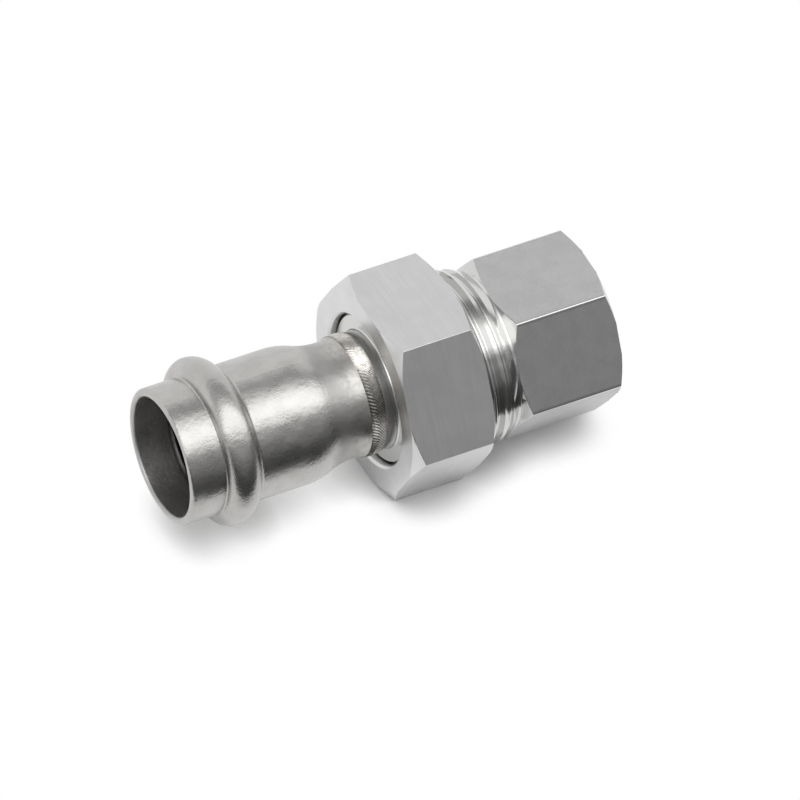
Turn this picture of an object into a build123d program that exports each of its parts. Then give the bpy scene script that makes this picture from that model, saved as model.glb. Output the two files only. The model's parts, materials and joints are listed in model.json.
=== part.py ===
"""Flat-sealing union: a press socket for 22 mm tube, joined by a loose hexagon nut to a threaded body.

Millimetres. The axis of the fitting is X, with the press socket's mouth at the origin and the
threaded end towards +X. +Z is up, square to the nut's flat that the fitting lies on.
"""
import os
from math import acos, cos, degrees, radians, sin, sqrt, tan

from build123d import *

# Press socket, drawn by its bore side with the sheet's wall added outside
wall = 1.5
tube_bore_r = 11.15
lead_in = 6.6
groove_depth = 2.9
groove_front_crease_r = 0.3
groove_front_crown_r = 1.35
groove_rear_crown_r = 2.55
groove_rear_foot_r = 2.5
socket_depth = 24.4
step_shoulder_r = 10.9
step_hollow_r = 16.5
step_depth = 1.9
neck_flare_r = 6.5
neck_flare_angle = 17.0
mouth_outer_fillet = 0.8
mouth_inner_fillet = 0.5

# Seal ring in the socket's bead
seal_squeeze = 0.3
seal_clear = 0.05

# Weld between the socket and the collar
weld_width = 3.05
weld_crown = 0.35
weld_toe = 0.15

# Collar that the nut pulls on
collar_neck_rise = 0.2
collar_neck_length = 2.3
collar_neck_fillet = 0.4
collar_shoulder_height = 2.85
collar_barrel_length = 2.7
collar_flange_height = 1.05
collar_flange_length = 3.0
collar_edge = 0.25

# Flat gasket
gasket_thickness = 2.0
gasket_bore_clear = 1.25

# G1 thread between the nut and the body; both walls stop at the thread's roots
thread_flange_clear = 0.3
thread_depth = 1.47
thread_clear = 0.05

# Union nut
nut_flat_wall = 1.83
nut_length = 16.3
nut_web = 4.0
nut_face_rise = 0.3
nut_hole_clear = 0.35
nut_hole_chamfer = 0.45
nut_turn_clear = 0.05
nut_corner_r = 0.2

# Threaded body
body_thread_length = 14.5
body_hex_length = 20.05
body_flat_wall = 1.78
body_face_rise = 0.2
body_corner_r = 0.35
body_turn = 2.9
body_bore_clear = 1.0
body_seat_chamfer = 1.2
pipe_thread_step = 2.97
pipe_thread_depth = 17.0
pipe_mouth_chamfer = 0.7
hex_chamfer_angle = 30.0

# Radii that follow, each from the one inside it
neck_bore_r = tube_bore_r - step_depth
neck_outer_r = neck_bore_r + wall
groove_front_foot_r = wall + groove_front_crease_r
neck_lip_bore_r = neck_bore_r + neck_flare_r * (1 - cos(radians(neck_flare_angle)))
neck_lip_r = neck_lip_bore_r + wall / cos(radians(neck_flare_angle))
collar_neck_r = neck_outer_r + collar_neck_rise
collar_barrel_r = collar_neck_r + collar_shoulder_height
collar_flange_r = collar_barrel_r + collar_flange_height
thread_minor_r = collar_flange_r + thread_flange_clear
thread_major_r = thread_minor_r + thread_depth
body_core_r = thread_minor_r - thread_clear
nut_wall_r = thread_major_r + thread_clear
nut_flat_r = nut_wall_r + nut_flat_wall
nut_face_r = nut_flat_r + nut_face_rise
nut_hole_r = collar_barrel_r + nut_hole_clear
gasket_bore_r = neck_bore_r + gasket_bore_clear
body_bore_r = neck_bore_r + body_bore_clear
pipe_thread_r = body_bore_r + pipe_thread_step
body_flat_r = pipe_thread_r + body_flat_wall
body_face_r = body_flat_r + body_face_rise

# Lengths that follow
neck_flare_length = neck_flare_r * sin(radians(neck_flare_angle))
front_turn = degrees(acos(1 - groove_depth / (groove_front_foot_r + groove_front_crown_r)))
rear_turn = degrees(acos(1 - groove_depth / (groove_rear_foot_r + groove_rear_crown_r)))
step_turn = degrees(acos(1 - step_depth / (step_shoulder_r + step_hollow_r)))
step_length = (step_shoulder_r + step_hollow_r) * sin(radians(step_turn))
socket_length = socket_depth + step_length + neck_flare_length

seal_r = (groove_depth - seal_squeeze) / 2
seal_centre_r = tube_bore_r + seal_clear + seal_r
seal_drop = tube_bore_r + groove_front_foot_r - seal_centre_r
seal_centre_x = lead_in + sqrt((groove_front_foot_r + seal_r + seal_clear) ** 2 - seal_drop ** 2)

collar_x = socket_length + weld_width
shoulder_x = collar_x + collar_neck_length
flange_x = shoulder_x + collar_barrel_length
gasket_x = flange_x + collar_flange_length
seat_x = gasket_x + gasket_thickness
nut_web_x = flange_x - nut_turn_clear
nut_x = nut_web_x - nut_web
hex_x = seat_x + body_thread_length
end_x = hex_x + body_hex_length


def chamfer_depth(corner_r, face_r):
    """How far back a hexagon's end chamfer reaches along the axis at its corners."""
    return (corner_r - face_r) * tan(radians(hex_chamfer_angle))


def corner_radius(flat_r):
    """Radius of a hexagon's corners, from that of its flats."""
    return flat_r / cos(radians(30))


# Socket: one sheet wall, formed into a bead and stepped down to the neck
with BuildPart() as press_socket:
    with BuildSketch(Plane.XZ):
        with BuildLine():
            mouth = Line((0, tube_bore_r), (lead_in, tube_bore_r))
            foot = JernArc(mouth @ 1, mouth % 1, groove_front_foot_r, front_turn)
            crown = JernArc(foot @ 1, foot % 1, groove_front_crown_r, -front_turn)
            back = JernArc(crown @ 1, crown % 1, groove_rear_crown_r, -rear_turn)
            heel = JernArc(back @ 1, back % 1, groove_rear_foot_r, rear_turn)
            barrel = Line(heel @ 1, (socket_depth, tube_bore_r))
            shoulder = JernArc(barrel @ 1, barrel % 1, step_shoulder_r, -step_turn)
            hollow = JernArc(shoulder @ 1, shoulder % 1, step_hollow_r, step_turn)
            flare = JernArc(hollow @ 1, hollow % 1, neck_flare_r, neck_flare_angle)
            Line(flare @ 1, flare @ 1 + wall * (flare % 1))
            offset(amount=wall, side=Side.LEFT)
        make_face()
    revolve(axis=Axis.X)
    split(bisect_by=Plane.YZ.offset(socket_length), keep=Keep.BOTTOM)
    rims = press_socket.edges().filter_by(GeomType.CIRCLE).group_by(Axis.X)[0].sort_by(SortBy.RADIUS)
    fillet(rims[-1], mouth_outer_fillet)
    fillet(press_socket.edges().filter_by(GeomType.CIRCLE).group_by(Axis.X)[0].sort_by(SortBy.RADIUS)[0],
           mouth_inner_fillet)

# Seal ring that lies in the bead's groove
with BuildPart() as socket_seal_ring:
    with BuildSketch(Plane.XZ):
        with Locations((seal_centre_x, seal_centre_r)):
            Circle(seal_r)
    revolve(axis=Axis.X)

# Weld bead that closes the joint between the socket's neck and the collar
with BuildPart() as weld_bead:
    with BuildSketch(Plane.XZ):
        with BuildLine():
            start = (socket_length, neck_lip_r - weld_toe)
            peak = (socket_length + weld_width * 0.55, neck_outer_r + weld_crown)
            finish = (collar_x, collar_neck_r)
            ThreePointArc(start, peak, finish)
            Polyline(finish, (collar_x, neck_bore_r), (socket_length, neck_lip_bore_r), start)
        make_face()
    revolve(axis=Axis.X)

# Collar: turned neck, barrel in the nut's hole, and the flange that the nut pulls on
with BuildPart() as collar:
    with BuildSketch(Plane.XZ):
        with BuildLine():
            Polyline(
                (collar_x, neck_bore_r),
                (collar_x, collar_neck_r),
                (shoulder_x, collar_neck_r),
                (shoulder_x, collar_barrel_r),
                (flange_x, collar_barrel_r),
                (flange_x, collar_flange_r),
                (gasket_x, collar_flange_r),
                (gasket_x, neck_bore_r),
                close=True,
            )
        make_face()
    revolve(axis=Axis.X)
    rings = collar.edges().filter_by(GeomType.CIRCLE)
    fillet([e for e in rings if abs(e.radius - collar_neck_r) < 0.01 and e.center().X > collar_x + 1],
           collar_neck_fillet)
    rings = collar.edges().filter_by(GeomType.CIRCLE)
    chamfer([e for e in rings if abs(e.radius - collar_flange_r) < 0.01], collar_edge)
    rings = collar.edges().filter_by(GeomType.CIRCLE)
    chamfer([e for e in rings if abs(e.radius - collar_barrel_r) < 0.01 and e.center().X < shoulder_x + 0.1],
            collar_edge)

# Flat gasket between the collar's flange and the body's seat
with BuildPart() as flat_gasket:
    with BuildSketch(Plane.YZ.offset(gasket_x)):
        Circle(collar_flange_r)
        Circle(gasket_bore_r, mode=Mode.SUBTRACT)
    extrude(amount=gasket_thickness)

# Union nut: hexagon with its end chamfers, a web with the hole for the collar, and the thread's bore
nut_corner = corner_radius(nut_flat_r)
nut_chamfer = chamfer_depth(nut_corner, nut_face_r)
with BuildPart() as union_nut:
    with BuildSketch(Plane.YZ.offset(nut_x)) as nut_section:
        RegularPolygon(nut_corner, 6)
        fillet(nut_section.vertices(), nut_corner_r)
    extrude(amount=nut_length)
    with BuildSketch(Plane.XZ):
        Polygon(
            (nut_x, 0),
            (nut_x, nut_face_r),
            (nut_x + nut_chamfer, nut_corner),
            (nut_x + nut_length - nut_chamfer, nut_corner),
            (nut_x + nut_length, nut_face_r),
            (nut_x + nut_length, 0),
            align=None,
        )
    revolve(axis=Axis.X, mode=Mode.INTERSECT)
    with BuildSketch(Plane.XZ):
        with BuildLine():
            mouth_r = nut_wall_r + nut_hole_chamfer
            Polyline(
                (nut_x, 0),
                (nut_x, nut_hole_r + nut_hole_chamfer),
                (nut_x + nut_hole_chamfer, nut_hole_r),
                (nut_web_x, nut_hole_r),
                (nut_web_x, nut_wall_r),
                (nut_x + nut_length - nut_hole_chamfer, nut_wall_r),
                (nut_x + nut_length, mouth_r),
                (nut_x + nut_length, 0),
                close=True,
            )
        make_face()
    revolve(axis=Axis.X, mode=Mode.SUBTRACT)

# Threaded body: male thread's core, hexagon, water way and the female pipe thread's wall
body_corner = corner_radius(body_flat_r)
body_chamfer = chamfer_depth(body_corner, body_face_r)
root_chamfer = chamfer_depth(body_corner, body_core_r)
with BuildPart() as threaded_body:
    with BuildSketch(Plane.YZ.offset(hex_x)) as body_section:
        RegularPolygon(body_corner, 6, rotation=body_turn)
        fillet(body_section.vertices(), body_corner_r)
    extrude(amount=body_hex_length)
    with BuildSketch(Plane.XZ):
        Polygon(
            (hex_x, 0),
            (hex_x, body_core_r),
            (hex_x + root_chamfer, body_corner),
            (end_x - body_chamfer, body_corner),
            (end_x, body_face_r),
            (end_x, 0),
            align=None,
        )
    revolve(axis=Axis.X, mode=Mode.INTERSECT)
    with BuildSketch(Plane.XZ):
        Polygon(
            (seat_x, 0),
            (seat_x, body_core_r - body_seat_chamfer),
            (seat_x + body_seat_chamfer, body_core_r),
            (hex_x, body_core_r),
            (hex_x, 0),
            align=None,
        )
    revolve(axis=Axis.X)
    with BuildSketch(Plane.XZ):
        with BuildLine():
            thread_x = end_x - pipe_thread_depth
            taper_x = thread_x - pipe_thread_step
            Polyline(
                (seat_x, 0),
                (seat_x, body_bore_r),
                (taper_x, body_bore_r),
                (thread_x, pipe_thread_r),
                (end_x - pipe_mouth_chamfer, pipe_thread_r),
                (end_x, pipe_thread_r + pipe_mouth_chamfer),
                (end_x, 0),
                close=True,
            )
        make_face()
    revolve(axis=Axis.X, mode=Mode.SUBTRACT)

pieces = {
    "press_socket": press_socket,
    "socket_seal_ring": socket_seal_ring,
    "weld_bead": weld_bead,
    "collar": collar,
    "flat_gasket": flat_gasket,
    "union_nut": union_nut,
    "threaded_body": threaded_body,
}
os.makedirs("parts", exist_ok=True)
for name, piece in pieces.items():
    piece.part.label = name
    export_step(piece.part, f"parts/{name}.step")

print("stations along X:", [round(x, 3) for x in (socket_length, collar_x, nut_x, shoulder_x, nut_web_x)])
print("gasket, seat, hexagon, end:", [round(x, 3) for x in (gasket_x, seat_x, hex_x, end_x)])
print("hexagon chamfers:", round(nut_chamfer, 3), round(body_chamfer, 3), round(root_chamfer, 3))
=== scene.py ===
"""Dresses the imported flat-sealing union: steel finishes, threads, weld ripples, floor, light and camera."""

import json
from math import atan2, cos, pi, radians, sin, tan

import bpy
from mathutils import Matrix, Vector


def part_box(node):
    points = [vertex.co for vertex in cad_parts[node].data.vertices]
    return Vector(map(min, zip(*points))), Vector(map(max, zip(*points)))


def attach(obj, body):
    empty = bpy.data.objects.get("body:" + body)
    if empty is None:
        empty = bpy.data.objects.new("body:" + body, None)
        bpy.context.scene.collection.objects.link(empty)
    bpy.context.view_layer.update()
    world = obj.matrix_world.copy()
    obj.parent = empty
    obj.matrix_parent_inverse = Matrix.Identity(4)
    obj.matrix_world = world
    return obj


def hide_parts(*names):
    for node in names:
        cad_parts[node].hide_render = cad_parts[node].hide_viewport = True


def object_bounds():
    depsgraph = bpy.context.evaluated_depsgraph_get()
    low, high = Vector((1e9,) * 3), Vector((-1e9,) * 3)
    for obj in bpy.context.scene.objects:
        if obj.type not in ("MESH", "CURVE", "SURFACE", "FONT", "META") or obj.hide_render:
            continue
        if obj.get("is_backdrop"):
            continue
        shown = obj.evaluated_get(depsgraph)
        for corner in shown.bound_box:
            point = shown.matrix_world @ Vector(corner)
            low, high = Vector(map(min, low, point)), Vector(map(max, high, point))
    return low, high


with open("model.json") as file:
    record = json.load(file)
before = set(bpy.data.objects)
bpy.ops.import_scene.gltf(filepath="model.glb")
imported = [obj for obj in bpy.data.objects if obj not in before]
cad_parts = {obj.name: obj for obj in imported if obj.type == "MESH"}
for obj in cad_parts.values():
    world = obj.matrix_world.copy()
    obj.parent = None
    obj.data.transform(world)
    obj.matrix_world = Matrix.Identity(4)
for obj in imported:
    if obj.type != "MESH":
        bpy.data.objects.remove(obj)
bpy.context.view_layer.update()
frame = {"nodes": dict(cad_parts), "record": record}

bl_info = {
    "name": "Flat Seal Union",
    "version": (1, 0, 0),
    "blender": (4, 5, 0),
    "location": "View3D > Sidebar > Union",
    "description": "Dresses a packed flat-sealing union and sets its stage",
    "category": "Object",
}

MM = 0.001
STEPS = 216  # sides of a turned surface, a multiple of six so that they meet a hexagon's corners
THREAD_STEPS = 72  # sides of one turn of a thread
MERGE = 1e-7  # metres within which two points are one
FIT = 0.05 * MM  # keeps two surfaces from coinciding
SKIN = 0.25 * MM  # how far a sleeve round a thread reaches into the wall
THREAD_LEAD = 0.6 * MM  # how far a ridge starts before what trims it
BAR_SPARE = 1.0 * MM  # how far hexagon bar stands past the turned ends
CORNER_SPARE = 0.6 * MM  # how far a turning form reaches past the bar's corners
CHAMFER_SLOPE = tan(pi / 6)  # a chamfer's step along the axis for each step outwards
HALF_ANGLE = 27.5  # of a 55 degree thread, in degrees
ROUNDING = 0.137329  # its crest and root radius for a pitch of 1
RIDGE_HALF = 0.498  # half the width of a ridge for a pitch of 1, so that its turns do not meet
RIPPLE_STEPS = 4  # sides of one weld ripple
RIPPLE_ROWS = ((1, 0.45), (2, 1.0), (3, 0.75))  # rows of points in one, with their share of its height
WELD_STATIONS = (0.04, 0.12, 0.22, 0.33, 0.44, 0.55, 0.66, 0.76, 0.86, 0.94)  # across its width
MALE_BLANK = (  # from the seat and from the axis, in millimetres: lead, full height and run-out
    (0.0, 14.0), (2.7, 16.64), (9.5, 16.64), (11.2, 16.08), (12.1, 16.02), (13.2, 15.55),
    (14.1, 15.0), (14.1, 13.5), (0.0, 13.5))
CARD_LEVELS = ((0.03, 0.06), (0.10, 0.09), (0.35, 0.20))  # metres towards the front, brightness
ROOM_LEVELS = (  # degrees from straight up towards the front, brightness
    (-110, 1.0), (-41, 1.06), (-30, 0.47), (-20, 0.38), (-9, 0.60), (2, 1.4), (10, 2.2),
    (38, 2.2), (48, 0.95), (55, 0.38), (61, 0.42), (67, 0.50), (76, 0.31), (90, 0.24))

NUT_LOW, NUT_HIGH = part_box("union_nut")
BODY_LOW, BODY_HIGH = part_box("threaded_body")
WELD_LOW, WELD_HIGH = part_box("weld_bead")
PIPE_MOUNT = next(m for m in frame["record"]["mounts"] if m["name"] == "pipe_thread")
PIPE_ROOT_R = PIPE_MOUNT["dims"]["r_mm"] * MM


def length(name, description, value):
    """A length property, in metres."""
    return bpy.props.FloatProperty(name=name, description=description, default=value, unit="LENGTH",
                                   precision=5)


def angle(name, description, value):
    """An angle property, given in degrees."""
    return bpy.props.FloatProperty(name=name, description=description, default=radians(value),
                                   unit="ROTATION")


def colour(name, description, value):
    """A linear colour."""
    return bpy.props.FloatVectorProperty(name=name, description=description, default=value, size=3,
                                         min=0, max=1, subtype="COLOR")


class UnionSizes(bpy.types.PropertyGroup):
    """Sizes of what is added to the CAD parts."""
    union_pitch: length("Union thread pitch", "Thread between nut and body, 11 turns to the inch", 2.309 * MM)
    union_major: length("Union thread major radius", "Crest of the male thread", 16.62 * MM)
    union_depth: length("Union thread depth", "Height of the thread's ridge", 1.479 * MM)
    union_phase: angle("Union thread start", "Turn at which the male ridge begins", 60)
    pipe_pitch: length("Pipe thread pitch", "Female pipe thread, 14 turns to the inch", 1.814 * MM)
    pipe_depth: length("Pipe thread depth", "Height of the pipe thread's ridge", 1.162 * MM)
    edge: length("Edge break", "Small bevel on machined edges", 0.09 * MM)
    body_flat: length("Body flat radius", "From the axis to the body's flats", 15.0 * MM)
    body_core: length("Body core radius", "Turned cylinder under the male thread", 14.96 * MM)
    body_bore: length("Body bore radius", "Water way through the body", 10.25 * MM)
    body_hexagon: length("Body hexagon start", "Where the hexagon's root cone begins", 63.876 * MM)
    body_turn: angle("Body turn", "How far the body's hexagon is turned from the nut's", 2.9)
    body_corner: length("Body corner break", "Set-back of the rounding on the body's long edges", 0.24 * MM)
    ripples: bpy.props.IntProperty(name="Weld ripples", description="Ripples round the weld", default=104,
                                   min=3)
    ripple_lean: angle("Ripple lean", "Turn round the joint over the weld's width, and again over its rear", 9)
    ripple_height: length("Ripple height", "How far a weld ripple stands out", 0.085 * MM)


class UnionColours(bpy.types.PropertyGroup):
    """Colours of the finishes."""
    socket: colour("Socket steel", "Formed stainless sheet", (0.475, 0.468, 0.455))
    nut: colour("Nut steel", "Brushed stainless flats", (0.67, 0.67, 0.67))
    body: colour("Body steel", "Fine blasted stainless flats", (0.55, 0.55, 0.55))
    turned: colour("Turned steel", "Polished turned stainless", (0.62, 0.62, 0.61))
    weld: colour("Weld steel", "Weld metal with a faint warm tint", (0.56, 0.545, 0.52))
    heat: colour("Heat tint", "Sheet coloured by the weld's heat", (0.36, 0.335, 0.30))
    bore: colour("Bore tint", "Duller steel inside the socket", (0.30, 0.295, 0.29))
    weld_edge: colour("Weld edge", "Darker metal along the weld's two edges", (0.26, 0.24, 0.21))
    rubber: colour("Rubber", "Black sealing rubber", (0.03, 0.03, 0.03))
    floor: colour("Floor", "Pale paper floor", (0.93, 0.93, 0.93))


class StageSizes(bpy.types.PropertyGroup):
    """Place of the camera."""
    azimuth: angle("Azimuth", "Camera's turn from the front, negative towards the left", -29.199)
    elevation: angle("Elevation", "Camera's height above the horizon", 44.527)
    roll: angle("Roll", "Camera's tilt to its side", 3.1505)
    distance: length("Distance", "From the camera to the point it aims at", 4.285)
    lens: bpy.props.FloatProperty(name="Lens", description="Focal length on a 36 mm sensor", default=1089.6,
                                  min=1)
    aim: bpy.props.FloatVectorProperty(name="Aim", description="The point at the picture's centre", size=3,
                                       default=(0.0460343, -0.0029242, -0.0020822), unit="LENGTH",
                                       precision=6)


class Wire:
    """A socket in a node tree. Arithmetic on it adds Math nodes."""

    def __init__(self, tree, socket):
        self.tree = tree
        self.socket = socket

    def node(self, kind, settings=None, inputs=None, output=0):
        """Adds any node: its settings first, then the values or links of its sockets."""
        made = self.tree.nodes.new(kind)
        for key, value in (settings or {}).items():
            setattr(made, key, value)
        for key, value in (inputs or {}).items():
            if isinstance(value, Wire):
                self.tree.links.new(value.socket, made.inputs[key])
            else:
                made.inputs[key].default_value = value
        return Wire(self.tree, made.outputs[output] if made.outputs else None)

    def math(self, operation, *values):
        """One Math node on these values, in this order."""
        return self.node("ShaderNodeMath", {"operation": operation}, dict(enumerate(values)))

    def __add__(self, other):
        return self.math("ADD", self, other)

    def __radd__(self, other):
        return self.math("ADD", other, self)

    def __sub__(self, other):
        return self.math("SUBTRACT", self, other)

    def __rsub__(self, other):
        return self.math("SUBTRACT", other, self)

    def __mul__(self, other):
        return self.math("MULTIPLY", self, other)

    def __rmul__(self, other):
        return self.math("MULTIPLY", other, self)

    def __abs__(self):
        return self.math("ABSOLUTE", self)

    def parts(self):
        """The three numbers of a vector."""
        split = self.node("ShaderNodeSeparateXYZ", None, {0: self})
        return tuple(Wire(self.tree, socket) for socket in split.socket.node.outputs)

    def rise(self, low, high):
        """0 below low and 1 above high, with a smooth rise between."""
        return self.node("ShaderNodeMapRange", {"interpolation_type": "SMOOTHSTEP"},
                         {"Value": self, "From Min": low, "From Max": high})

    def graded(self, stops):
        """Steps smoothly through (place, value) stops in rising order."""
        level = stops[0][1]
        for (low, below), (high, above) in zip(stops, stops[1:]):
            level = self.rise(low, high) * (above - below) + level
        return level

    def within(self, low, high, soft):
        """1 between low and high, 0 outside."""
        return self.rise(low - soft, low + soft) * (1 - self.rise(high - soft, high + soft))


class Finish:
    """A Principled material on Object coordinates, in millimetres."""
    MIX_FIRST, MIX_SECOND, MIX_RESULT = 6, 7, 2  # the colour sockets of a Mix node

    def __init__(self, name, **constants):
        self.material = bpy.data.materials.new(name)
        self.material.use_nodes = True
        tree = self.material.node_tree
        self.shader = next(n for n in tree.nodes if n.type == "BSDF_PRINCIPLED")
        for key, value in constants.items():
            self.shader.inputs[key.replace("_", " ").title()].default_value = value
        start = Wire(tree, None)
        place = start.node("ShaderNodeTexCoord", output="Object")
        self.point = start.node("ShaderNodeVectorMath", {"operation": "SCALE"}, {0: place, "Scale": 1000.0})
        self.x, y, z = self.point.parts()
        self.facing_x = start.node("ShaderNodeTexCoord", output="Normal").parts()[0]
        self.radius = start.math("SQRT", y * y + z * z)

    def noise(self, scale, detail=2.0, stretch=(1, 1, 1), roughness=0.5):
        """Noise of so many features to a millimetre, along each axis times its stretch."""
        where = self.point.node("ShaderNodeMapping", None, {"Vector": self.point, "Scale": stretch})
        return where.node("ShaderNodeTexNoise", None,
                          {"Vector": where, "Scale": scale, "Detail": detail, "Roughness": roughness})

    def tint(self, factor, first, second):
        """A colour between two others."""
        return factor.node("ShaderNodeMix", {"data_type": "RGBA"},
                           {0: factor, self.MIX_FIRST: first, self.MIX_SECOND: second}, self.MIX_RESULT)

    def feed(self, key, wire):
        """Links a wire to one of the shader's sockets."""
        wire.tree.links.new(wire.socket, self.shader.inputs[key])

    def bump(self, height, distance, below=None):
        """Raises the surface by a height in millimetres at 1, over another bump where there is one."""
        inputs = {"Height": height, "Distance": distance * MM, "Strength": 1.0}
        if below:
            inputs["Normal"] = below
        return height.node("ShaderNodeBump", None, inputs)


def rgba(value, lightness=1.0):
    """A colour with its alpha, made lighter or darker."""
    return (*(min(1.0, part * lightness) for part in value), 1.0)


def finish_socket(colours):
    """Satin formed sheet, a little mottled, with heat colour by the weld and a duller bore."""
    f = Finish("formed_satin_steel", metallic=1.0)
    patches = f.noise(0.30, 3.0)
    grain = f.noise(3.2, 3.0, stretch=(0.6, 1.0, 1.0), roughness=0.65)
    neck = f.x.rise(31.5, 34.5)
    heat = neck * f.noise(1.1, 3.0).rise(0.38, 0.66)
    steel = f.tint(patches.rise(0.3, 0.7), rgba(colours.socket, 0.93), rgba(colours.socket, 1.06))
    steel = f.tint(heat * 0.4, steel, rgba(colours.heat))
    inside, before_neck = 1 - f.radius.rise(11.0, 11.9), 1 - f.x.rise(30.0, 36.0)
    bore = inside * before_neck
    steel = f.tint(bore * 0.3, steel, rgba(colours.bore))
    f.feed("Base Color", steel)
    f.feed("Roughness", 0.20 + patches * 0.08 + grain * 0.08 + heat * 0.08 + bore * 0.18)
    dents = f.bump(f.noise(0.20, 1.0), 0.16)
    rough = f.bump(f.noise(1.1, 4.0, roughness=0.6), 0.055, dents)
    f.feed("Normal", f.bump(grain, 0.022, rough))
    return f.material


def finish_turned(colours):
    """Polished turned steel, with fine rings left by the lathe."""
    f = Finish("turned_polished_steel", base_color=rgba(colours.turned), metallic=1.0)
    rings = f.noise(4.0, 1.0, stretch=(1.0, 0.02, 0.02))
    f.feed("Roughness", 0.16 + rings * 0.10)
    f.feed("Normal", f.bump(rings, 0.004))
    return f.material


def finish_weld(colours):
    """Weld metal: warm in the middle, darker at its two edges."""
    f = Finish("weld_steel", metallic=1.0)
    low, high = WELD_LOW.x / MM, WELD_HIGH.x / MM
    edge = 1 - f.x.within(low + 0.35, high - 0.45, 0.3)
    patches = f.noise(1.0, 3.0)
    f.feed("Base Color", f.tint(edge * 0.6 + patches.rise(0.4, 0.7) * 0.3, rgba(colours.weld, 1.05),
                                rgba(colours.weld_edge)))
    f.feed("Roughness", 0.15 + patches * 0.16)
    lumps = f.bump(f.noise(0.9, 2.0), 0.10)
    f.feed("Normal", f.bump(f.noise(3.5, 2.0), 0.012, lumps))
    return f.material


def finish_nut(colours):
    """Brushed flats, with the lines square to the nut's axis, and turned faces."""
    f = Finish("brushed_nut_steel", metallic=1.0)
    flats = 1 - abs(f.facing_x).rise(0.15, 0.35)
    lines = f.noise(3.2, 3.0, stretch=(1.0, 0.03, 0.03), roughness=0.65)
    broad = f.noise(1.0, 2.0, stretch=(1.0, 0.06, 0.06))
    patches = f.noise(0.25, 4.0, roughness=0.6)
    shade = lines * 0.4 + broad * 0.2 + patches * 0.4
    f.feed("Base Color", f.tint(shade.rise(0.3, 0.7), rgba(colours.nut, 0.93), rgba(colours.nut, 1.06)))
    f.feed("Roughness", 0.27 + flats * (lines * 0.14) + patches * 0.06)
    f.feed("Normal", f.bump(lines * 0.6 + broad * 0.4, 0.009))
    return f.material


def finish_body(colours):
    """Fine blasted flats, with a bright stem, root cone and rounded long edges."""
    f = Finish("blasted_body_steel", metallic=1.0)
    past_thread, outside = f.x.rise(63.9, 64.0), f.radius.rise(14.2, 14.6)
    flats = past_thread * (1 - abs(f.facing_x).rise(0.10, 0.25)) * outside
    grain = f.noise(4.0, 3.0, roughness=0.6)
    patches = f.noise(0.3, 3.0)
    blasted = f.tint(grain.rise(0.35, 0.65) * 0.6 + patches.rise(0.35, 0.65) * 0.4,
                     rgba(colours.body, 0.92), rgba(colours.body, 1.08))
    f.feed("Base Color", f.tint(flats, rgba(colours.turned), blasted))
    corners = f.radius.rise(17.0, 17.1)
    f.feed("Roughness", 0.14 + flats * (1 - corners) * (0.22 + grain * 0.16))
    f.feed("Normal", f.bump(grain * flats, 0.012))
    return f.material


def finish_thread(colours):
    """Bright cut threads."""
    f = Finish("cut_thread_steel", base_color=rgba(colours.turned), metallic=1.0)
    marks = f.noise(3.0, 2.0)
    f.feed("Roughness", 0.10 + marks * 0.10)
    f.feed("Normal", f.bump(marks, 0.004))
    return f.material


def finish_rubber(name, colours, roughness):
    """Moulded black rubber."""
    f = Finish(name, metallic=0.0)
    patches = f.noise(0.8, 3.0)
    f.feed("Base Color", f.tint(patches, rgba(colours.rubber, 0.8), rgba(colours.rubber, 1.4)))
    f.feed("Roughness", roughness + patches * 0.1)
    f.feed("Normal", f.bump(f.noise(4.0, 2.0), 0.008))
    return f.material


def paint(piece, material):
    """Gives a piece one material."""
    piece.data.materials.clear()
    piece.data.materials.append(material)


def deselect():
    """Leaves object mode with nothing selected."""
    if bpy.context.object and bpy.context.object.mode != "OBJECT":
        bpy.ops.object.mode_set(mode="OBJECT")
    bpy.ops.object.select_all(action="DESELECT")


def pick(piece):
    """Makes one piece the only one selected."""
    deselect()
    piece.select_set(True)
    bpy.context.view_layer.objects.active = piece


def apply_modifier(piece, kind, **settings):
    """Adds a modifier to a piece and applies it."""
    pick(piece)
    modifier = piece.modifiers.new(kind, kind)
    for key, value in settings.items():
        setattr(modifier, key, value)
    bpy.ops.object.modifier_apply(modifier=modifier.name)


def trace(name, points):
    """Draws a closed outline in the XZ plane: x along the axis, z the radius, in metres."""
    deselect()
    bpy.ops.mesh.primitive_plane_add(size=MM, location=(0, 0, 0))
    piece = bpy.context.object
    piece.name = piece.data.name = name
    bpy.ops.object.mode_set(mode="EDIT")
    bpy.ops.mesh.select_mode(type="VERT")
    bpy.ops.mesh.select_all(action="SELECT")
    bpy.ops.mesh.merge(type="CENTER")
    bpy.ops.transform.translate(value=(points[0][0], 0, points[0][1]))
    for (x0, r0), (x1, r1) in zip(points, points[1:]):
        bpy.ops.mesh.extrude_region_move(TRANSFORM_OT_translate={"value": (x1 - x0, 0, r1 - r0)})
    bpy.ops.object.mode_set(mode="OBJECT")
    for vertex in piece.data.vertices:
        vertex.select = vertex.index in (0, len(points) - 1)
    bpy.ops.object.mode_set(mode="EDIT")
    bpy.ops.mesh.edge_face_add()
    bpy.ops.object.mode_set(mode="OBJECT")
    return piece


def close_up(piece):
    """Merges doubles, fills open ends and turns the faces outwards."""
    pick(piece)
    bpy.ops.object.mode_set(mode="EDIT")
    bpy.ops.mesh.select_all(action="SELECT")
    bpy.ops.mesh.remove_doubles(threshold=MERGE)
    bpy.ops.mesh.fill_holes(sides=0)
    bpy.ops.mesh.select_all(action="SELECT")
    bpy.ops.mesh.normals_make_consistent(inside=False)
    bpy.ops.object.mode_set(mode="OBJECT")


def turned(name, points):
    """A ring turned about X from a closed outline."""
    piece = trace(name, points)
    apply_modifier(piece, "SCREW", axis="X", angle=2 * pi, steps=STEPS, render_steps=STEPS,
                   use_merge_vertices=True, merge_threshold=MERGE)
    close_up(piece)
    return piece


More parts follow.
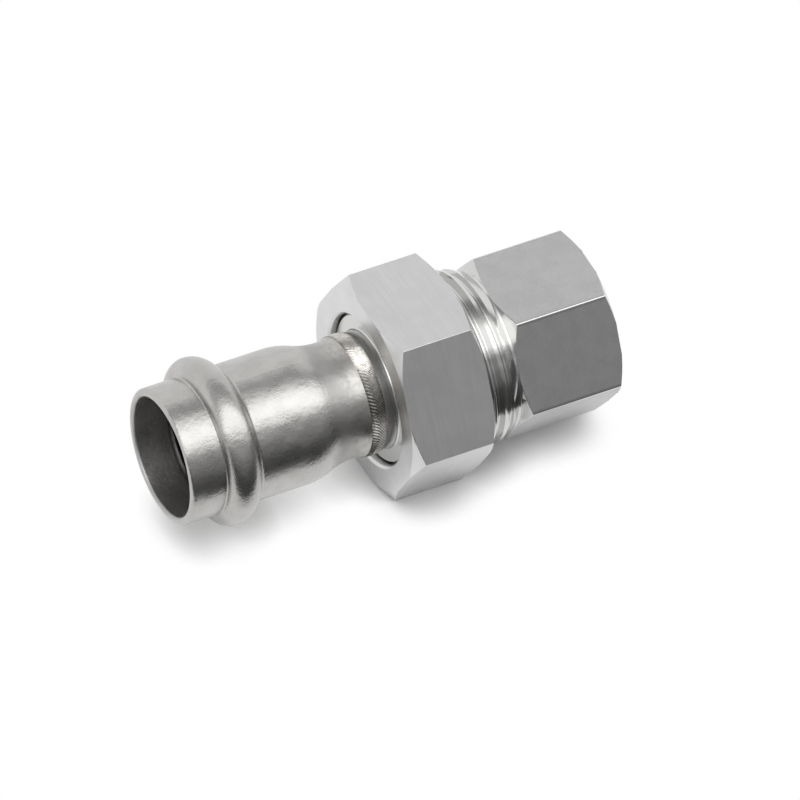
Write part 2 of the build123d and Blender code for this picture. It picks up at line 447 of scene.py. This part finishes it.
def wound(name, points, pitch, turns, start_x, start_turn):
    """A ridge wound about X as a right-hand thread, from its closed outline round x = 0."""
    piece = trace(name, points)
    apply_modifier(piece, "SCREW", axis="X", angle=2 * pi, screw_offset=pitch, iterations=turns,
                   steps=THREAD_STEPS, render_steps=THREAD_STEPS)
    close_up(piece)
    bpy.ops.object.mode_set(mode="EDIT")
    bpy.ops.mesh.select_all(action="SELECT")
    bpy.ops.transform.translate(value=(start_x, 0, 0))
    bpy.ops.object.mode_set(mode="OBJECT")
    piece.rotation_euler = (start_turn, 0, 0)
    bpy.ops.object.transform_apply(location=False, rotation=True, scale=False)
    return piece


def combine(piece, tool, operation):
    """Booleans a piece with a tool, which is used up."""
    apply_modifier(piece, "BOOLEAN", operation=operation, solver="EXACT", object=tool)
    bpy.data.objects.remove(tool)


def hexagon(name, flat_r, x0, x1, turn):
    """A hexagonal bar along X, its flats level when turn is 0."""
    deselect()
    bpy.ops.mesh.primitive_cylinder_add(vertices=6, radius=flat_r / cos(pi / 6), depth=x1 - x0,
                                        location=((x0 + x1) / 2, 0, 0), rotation=(0, pi / 2, 0))
    bpy.ops.object.transform_apply(location=True, rotation=True, scale=True)
    piece = bpy.context.object
    piece.name = piece.data.name = name
    piece.rotation_euler = (turn, 0, 0)
    bpy.ops.object.transform_apply(location=False, rotation=True, scale=False)
    return piece


def smooth(piece, limit=40):
    """Smooth shading, with the edges over the limit in degrees kept sharp."""
    pick(piece)
    bpy.ops.object.shade_smooth_by_angle(angle=radians(limit))


def break_edges(piece, width):
    """Bevels a machined piece's sharp edges, and shades its faces flat between them."""
    apply_modifier(piece, "BEVEL", width=width, segments=2, limit_method="ANGLE",
                   angle_limit=radians(24), use_clamp_overlap=False, miter_outer="MITER_ARC")
    smooth(piece)
    apply_modifier(piece, "WEIGHTED_NORMAL", keep_sharp=True, weight=80)


def arc(centre_x, centre_r, radius, first, last, count):
    """Points of an arc, its angles in degrees from along the axis to straight out from it."""
    turns = [radians(first + (last - first) * k / count) for k in range(count + 1)]
    return [(centre_x + radius * cos(t), centre_r + radius * sin(t)) for t in turns]


def ridge(pitch, depth, major, outwards=True, clear=0.0):
    """A 55 degree thread's ridge with rounded crest and roots, as a closed outline round x = 0.

    An outward ridge stands on its roots at major - depth, an inward one on its roots at major + clear.
    """
    rounding = ROUNDING * pitch
    crest = depth - rounding
    width = pitch * RIDGE_HALF
    foot = -0.3 * MM
    half = [(-width, foot), (-width, 0.0)]
    half += arc(-pitch / 2, rounding, rounding, -90, -HALF_ANGLE, 3)[1:]
    half += arc(0, crest, rounding, 180 - HALF_ANGLE, 90, 3)
    outline = half + [(-x, h) for x, h in reversed(half[:-1])]
    if outwards:
        return [(x, major - depth + h) for x, h in outline]
    return [(x, major - h + clear) for x, h in outline]


def thread_mouth(end, crest, wall, painted_shadow_ao, far):
    """A sleeve's points by a female thread's end: its crest, then the wall near and far from the end."""
    return [(end - 1.9 * MM, crest - FIT), (end - painted_shadow_ao, wall + FIT), (end - far, wall + SKIN)]


class UNION_OT_tail(bpy.types.Operator):
    """Finishes the press socket, the collar and the two seals, which keep their CAD shapes"""
    bl_idname = "union.tail"
    bl_label = "Socket, Collar and Seals"

    def execute(self, context):
        colours = context.scene.union_colours
        paint(frame["nodes"]["press_socket"], finish_socket(colours))
        paint(frame["nodes"]["collar"], finish_turned(colours))
        paint(frame["nodes"]["socket_seal_ring"], finish_rubber("seal_ring_rubber", colours, 0.35))
        paint(frame["nodes"]["flat_gasket"], finish_rubber("gasket_rubber", colours, 0.55))
        return {"FINISHED"}


class UNION_OT_weld(bpy.types.Operator):
    """Lays the weld's ripples round the joint, each a copy of one"""
    bl_idname = "union.weld"
    bl_label = "Weld"

    def execute(self, context):
        sizes = context.scene.union_sizes
        low, high, crown = WELD_LOW.x, WELD_HIGH.x, WELD_HIGH.z
        width, inside = high - low, crown - 1.0 * MM
        front, back = low - 0.02 * MM, high + 0.05 * MM
        swell, fall = 0.02 * MM, 0.14 * MM
        outline = [(front, inside), (front, crown - 0.06 * MM)]
        outline += [(low + width * u, crown + swell - fall * (2 * u - 0.8) ** 2) for u in WELD_STATIONS]
        outline += [(back, crown - 0.24 * MM), (back, inside)]
        weld = trace("weld_ripples", outline)
        one = 2 * pi / sizes.ripples
        apply_modifier(weld, "SCREW", axis="X", angle=one, steps=RIPPLE_STEPS, render_steps=RIPPLE_STEPS)
        for row, rise in RIPPLE_ROWS:
            pick(weld)
            for vertex in weld.data.vertices:
                turn = atan2(vertex.co.y, vertex.co.z)
                vertex.select = abs(abs(turn) - one * row / RIPPLE_STEPS) < one * 0.05
            bpy.ops.object.mode_set(mode="EDIT")
            grow = 1 + rise * sizes.ripple_height / crown
            bpy.ops.transform.resize(value=(1, grow, grow), center_override=(0, 0, 0))
            bpy.ops.object.mode_set(mode="OBJECT")
        deselect()
        bpy.ops.object.empty_add(rotation=(-one, 0, 0))
        step = bpy.context.object
        apply_modifier(weld, "ARRAY", count=sizes.ripples, use_relative_offset=False, use_object_offset=True,
                       offset_object=step, use_merge_vertices=True, use_merge_vertices_cap=True,
                       merge_threshold=2e-6)
        bpy.data.objects.remove(step)
        close_up(weld)
        apply_modifier(weld, "SIMPLE_DEFORM", deform_method="TWIST", deform_axis="X", angle=sizes.ripple_lean)
        apply_modifier(weld, "SIMPLE_DEFORM", deform_method="TWIST", deform_axis="X", angle=sizes.ripple_lean,
                       limits=(0.45, 1.0))
        smooth(weld, limit=60)
        paint(weld, finish_weld(context.scene.union_colours))
        paint(frame["nodes"]["weld_bead"], finish_turned(context.scene.union_colours))
        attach(weld, "tail")
        return {"FINISHED"}


class UNION_OT_nut(bpy.types.Operator):
    """Cuts the union nut from hexagon bar and winds its thread"""
    bl_idname = "union.nut"
    bl_label = "Union Nut"

    def execute(self, context):
        sizes, colours = context.scene.union_sizes, context.scene.union_colours
        start, end, flat_r = NUT_LOW.x, NUT_HIGH.x, NUT_HIGH.z
        face_r, beyond = flat_r + 0.3 * MM, flat_r / cos(pi / 6) + CORNER_SPARE
        chamfer = (beyond - face_r) * CHAMFER_SLOPE
        bore_r, hole_r = sizes.union_major + FIT, 14.15 * MM
        web, rim = start + 4.0 * MM, 0.45 * MM
        nut = hexagon("nut_of_hexagon_bar", flat_r, start - BAR_SPARE, end + BAR_SPARE, 0)
        form = turned("nut_turning", [
            (start, hole_r + rim), (start, face_r), (start + chamfer, beyond), (end - chamfer, beyond),
            (end, face_r), (end, bore_r + rim), (end - rim, bore_r), (web, bore_r), (web, hole_r),
            (start + rim, hole_r)])
        combine(nut, form, "INTERSECT")
        close_up(nut)
        break_edges(nut, sizes.edge)
        profile = ridge(sizes.union_pitch, sizes.union_depth, sizes.union_major, outwards=False, clear=FIT)
        thread = wound("nut_thread", profile, sizes.union_pitch, turns=6, start_x=web - THREAD_LEAD,
                       start_turn=0.0)
        crest = bore_r - sizes.union_depth
        sleeve = [(web, crest - FIT), *thread_mouth(end, crest, bore_r, 0.40 * MM, 0.60 * MM),
                  (web, bore_r + SKIN)]
        combine(thread, turned("nut_thread_sleeve", sleeve), "INTERSECT")
        smooth(thread)
        paint(nut, finish_nut(colours))
        paint(thread, finish_thread(colours))
        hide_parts("union_nut")
        for piece in (nut, thread):
            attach(piece, "nut")
        return {"FINISHED"}


class UNION_OT_body(bpy.types.Operator):
    """Cuts the body from hexagon bar, joins its turned stem to it and winds its two threads"""
    bl_idname = "union.body"
    bl_label = "Threaded Body"

    def execute(self, context):
        sizes, colours = context.scene.union_sizes, context.scene.union_colours
        thread = finish_thread(colours)
        self.bar(sizes, finish_body(colours))
        self.male(sizes, thread)
        self.female(sizes, thread)
        return {"FINISHED"}

    def bar(self, sizes, material):
        """The hexagon, with its root cone and end chamfer, and the stem under the male thread."""
        seat, end, start = BODY_LOW.x, BODY_HIGH.x, sizes.body_hexagon
        core, bore = sizes.body_core, sizes.body_bore
        face_r, beyond = sizes.body_flat + 0.2 * MM, sizes.body_flat / cos(pi / 6) + CORNER_SPARE
        cone, chamfer = (beyond - core) * CHAMFER_SLOPE, (beyond - face_r) * CHAMFER_SLOPE
        lead, rim = 1.2 * MM, 0.7 * MM
        thread_end, bore_end = end - 17.0 * MM, end - 19.97 * MM
        lap, lap_r = 0.5 * MM, 12.0 * MM
        body = hexagon("body_of_hexagon_bar", sizes.body_flat, seat - BAR_SPARE, end + BAR_SPARE,
                       sizes.body_turn)
        apply_modifier(body, "BEVEL", width=sizes.body_corner, segments=4, limit_method="ANGLE",
                       angle_limit=radians(50))
        form = turned("body_turning", [
            (start - lap, bore), (start - lap, core - lap), (start, core), (start + cone, beyond),
            (end - chamfer, beyond), (end, face_r), (end, PIPE_ROOT_R + rim), (end - rim, PIPE_ROOT_R),
            (thread_end, PIPE_ROOT_R), (bore_end, bore)])
        combine(body, form, "INTERSECT")
        stem = turned("body_stem", [(seat, bore), (seat, core - lead), (seat + lead, core), (start, core),
                                    (start, lap_r), (start - lap, bore)])
        combine(body, stem, "UNION")
        close_up(body)
        break_edges(body, sizes.edge)
        paint(body, material)
        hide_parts("threaded_body")
        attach(body, "body")

    def male(self, sizes, material):
        """The thread that the nut turns on."""
        seat = BODY_LOW.x
        profile = ridge(sizes.union_pitch, sizes.union_depth, sizes.union_major)
        male = wound("male_thread", profile, sizes.union_pitch, turns=7, start_x=seat - THREAD_LEAD,
                     start_turn=sizes.union_phase)
        blank = turned("thread_blank", [(seat + x * MM, r * MM) for x, r in MALE_BLANK])
        combine(male, blank, "INTERSECT")
        smooth(male)
        paint(male, material)
        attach(male, "body")

    def female(self, sizes, material):
        """The pipe thread inside the body's open end."""
        end = BODY_HIGH.x
        profile = ridge(sizes.pipe_pitch, sizes.pipe_depth, PIPE_ROOT_R, outwards=False)
        inner = end - 16.6 * MM
        female = wound("pipe_thread", profile, sizes.pipe_pitch, turns=10, start_x=inner, start_turn=0.0)
        crest = PIPE_ROOT_R - sizes.pipe_depth
        sleeve = [(inner, crest + 1.0 * MM), (end - 15.4 * MM, crest - FIT),
                  *thread_mouth(end, crest, PIPE_ROOT_R, 0.55 * MM, 0.75 * MM), (inner, PIPE_ROOT_R + SKIN)]
        combine(female, turned("pipe_thread_sleeve", sleeve), "INTERSECT")
        smooth(female)
        paint(female, material)
        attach(female, "body")


class UNION_OT_stage(bpy.types.Operator):
    """Sets the camera, the pale floor, the lamp, and the dark card and graded room that steel reflects"""
    bl_idname = "union.stage"
    bl_label = "Stage"

    def execute(self, context):
        stage, colours = context.scene.stage_sizes, context.scene.union_colours
        context.scene.view_settings.view_transform = "Standard"
        self.camera(context, stage)
        self.floor(colours)
        self.card()
        self.room(context)
        self.lamp()
        return {"FINISHED"}

    def camera(self, context, stage):
        """A long lens at the photograph's angle."""
        deselect()
        bpy.ops.object.camera_add()
        camera = bpy.context.object
        camera.data.lens, camera.data.sensor_width = stage.lens, 36
        camera.data.clip_start, camera.data.clip_end = 0.1, 20
        turn = (Matrix.Rotation(stage.azimuth, 4, "Z") @ Matrix.Rotation(pi / 2 - stage.elevation, 4, "X")
                @ Matrix.Rotation(stage.roll, 4, "Z"))
        back = turn.to_3x3() @ Vector((0, 0, 1))
        camera.matrix_world = Matrix.Translation(Vector(stage.aim) + back * stage.distance) @ turn
        context.scene.camera = camera

    def floor(self, colours):
        """White paper under the union. It glows white, but round the union ambient occlusion lets the lamp-lit
        paper show instead: a painted contact shadow added to the shadow the lamp casts.
        """
        deselect()
        drop = 0.02 * MM
        bpy.ops.mesh.primitive_plane_add(size=8, location=(0.04, 0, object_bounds()[0][2] - drop))
        floor = bpy.context.object
        floor.name = "floor"
        f = Finish("white_paper", base_color=rgba(colours.floor), roughness=0.9, metallic=0.0)
        f.shader.inputs["Specular IOR Level"].default_value = 0.0
        # Painted shadow: ambient occlusion within 10 mm fades the glowing white into the lit paper round the
        # union
        painted_shadow_ao = f.x.node("ShaderNodeAmbientOcclusion", {"samples": 16}, {"Distance": 10 * MM}, output="AO")
        white = painted_shadow_ao.node("ShaderNodeEmission", None, {"Strength": 1.0})
        shown = self.background_rays(f.x) * painted_shadow_ao.rise(0.25, 0.85)
        paper = Wire(f.x.tree, f.shader.outputs[0])
        mixed = shown.node("ShaderNodeMixShader", None, {0: shown, 1: paper, 2: white})
        output = next(n for n in f.x.tree.nodes if n.type == "OUTPUT_MATERIAL")
        f.x.tree.links.new(mixed.socket, output.inputs[0])
        paint(floor, f.material)
        floor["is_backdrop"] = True

    def background_rays(self, start):
        """1 for the camera's rays and for those that a piece mirrors or lets through."""
        camera, glossy, through = (start.node("ShaderNodeLightPath", output=f"Is {kind} Ray")
                                   for kind in ("Camera", "Glossy", "Transmission"))
        return start.math("MINIMUM", camera + glossy + through, 1.0)

    def card(self):
        """A dark card on the floor in front of the union, seen only in the steel and lighter further off."""
        deselect()
        side, gap, lift = 4.0, 0.030, 0.5 * MM
        place = (0.06, -side / 2 - gap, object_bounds()[0][2] + lift)
        bpy.ops.mesh.primitive_plane_add(size=1, location=place)
        card = bpy.context.object
        card.name = "front_floor_card"
        card.scale = (side, side, 1)
        bpy.ops.object.transform_apply(location=True, rotation=True, scale=True)
        material = bpy.data.materials.new("front_floor_card")
        material.use_nodes = True
        tree = material.node_tree
        tree.nodes.clear()
        start = Wire(tree, None)
        across = start.node("ShaderNodeTexCoord", output="Object").parts()[1]
        level = (across * -1).graded(CARD_LEVELS)
        light = start.node("ShaderNodeEmission", None, {"Strength": level})
        out = tree.nodes.new("ShaderNodeOutputMaterial")
        tree.links.new(light.socket, out.inputs[0])
        paint(card, material)
        card.visible_camera = card.visible_diffuse = card.visible_shadow = False
        card.visible_transmission = card.visible_volume_scatter = False
        card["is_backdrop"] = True

    def room(self, context):
        """A white room. Steel sees it graded by the angle from straight up towards the front."""
        fill = 0.6  # light on what does not mirror the room
        world = bpy.data.worlds.new("white_room")
        world.use_nodes = True
        tree = world.node_tree
        background = next(n for n in tree.nodes if n.type == "BACKGROUND")
        background.inputs["Color"].default_value = (1, 1, 1, 1)
        start = Wire(tree, None)
        y, z = start.node("ShaderNodeTexCoord", output="Generated").parts()[1:]
        lean = start.math("DEGREES", start.math("ARCTAN2", y * -1, z))
        camera, glossy = (start.node("ShaderNodeLightPath", output=f"Is {kind} Ray")
                          for kind in ("Camera", "Glossy"))
        level = camera + glossy * lean.graded(ROOM_LEVELS) + (1 - camera) * (1 - glossy) * fill
        tree.links.new(level.socket, background.inputs["Strength"])
        context.scene.world = world

    def lamp(self):
        """One soft lamp overhead, which the steel does not show."""
        deselect()
        distance, side, watts = 0.7, 0.30, 1.3
        aim = Vector((0.04, 0, 0))
        toward = Vector((-0.15, 0.20, 0.96)).normalized()
        bpy.ops.object.light_add(type="AREA", location=aim + toward * distance)
        lamp = bpy.context.object
        lamp.data.shape, lamp.data.size, lamp.data.size_y = "RECTANGLE", side, side
        lamp.data.energy = watts
        lamp.visible_glossy = False
        lamp.rotation_euler = toward.to_track_quat("Z", "Y").to_euler()


class UNION_PT_panel(bpy.types.Panel):
    """Lists the steps that dress the union"""
    bl_idname = "UNION_PT_panel"
    bl_label = "Flat Seal Union"
    bl_space_type = "VIEW_3D"
    bl_region_type = "UI"
    bl_category = "Union"

    def draw(self, context):
        for operator in OPERATORS:
            self.layout.operator(operator.bl_idname)


OPERATORS = (UNION_OT_tail, UNION_OT_weld, UNION_OT_nut, UNION_OT_body, UNION_OT_stage)
CLASSES = (UnionSizes, UnionColours, StageSizes, *OPERATORS, UNION_PT_panel)


def register():
    """Adds the classes and the three groups of properties."""
    for cls in CLASSES:
        bpy.utils.register_class(cls)
    bpy.types.Scene.union_sizes = bpy.props.PointerProperty(type=UnionSizes)
    bpy.types.Scene.union_colours = bpy.props.PointerProperty(type=UnionColours)
    bpy.types.Scene.stage_sizes = bpy.props.PointerProperty(type=StageSizes)


def unregister():
    """Takes them away again."""
    del bpy.types.Scene.stage_sizes
    del bpy.types.Scene.union_colours
    del bpy.types.Scene.union_sizes
    for cls in reversed(CLASSES):
        bpy.utils.unregister_class(cls)


def main():
    """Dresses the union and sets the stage."""
    register()
    bpy.ops.union.tail()
    bpy.ops.union.weld()
    bpy.ops.union.nut()
    bpy.ops.union.body()
    bpy.ops.union.stage()


if __name__ == "__main__":
    main()
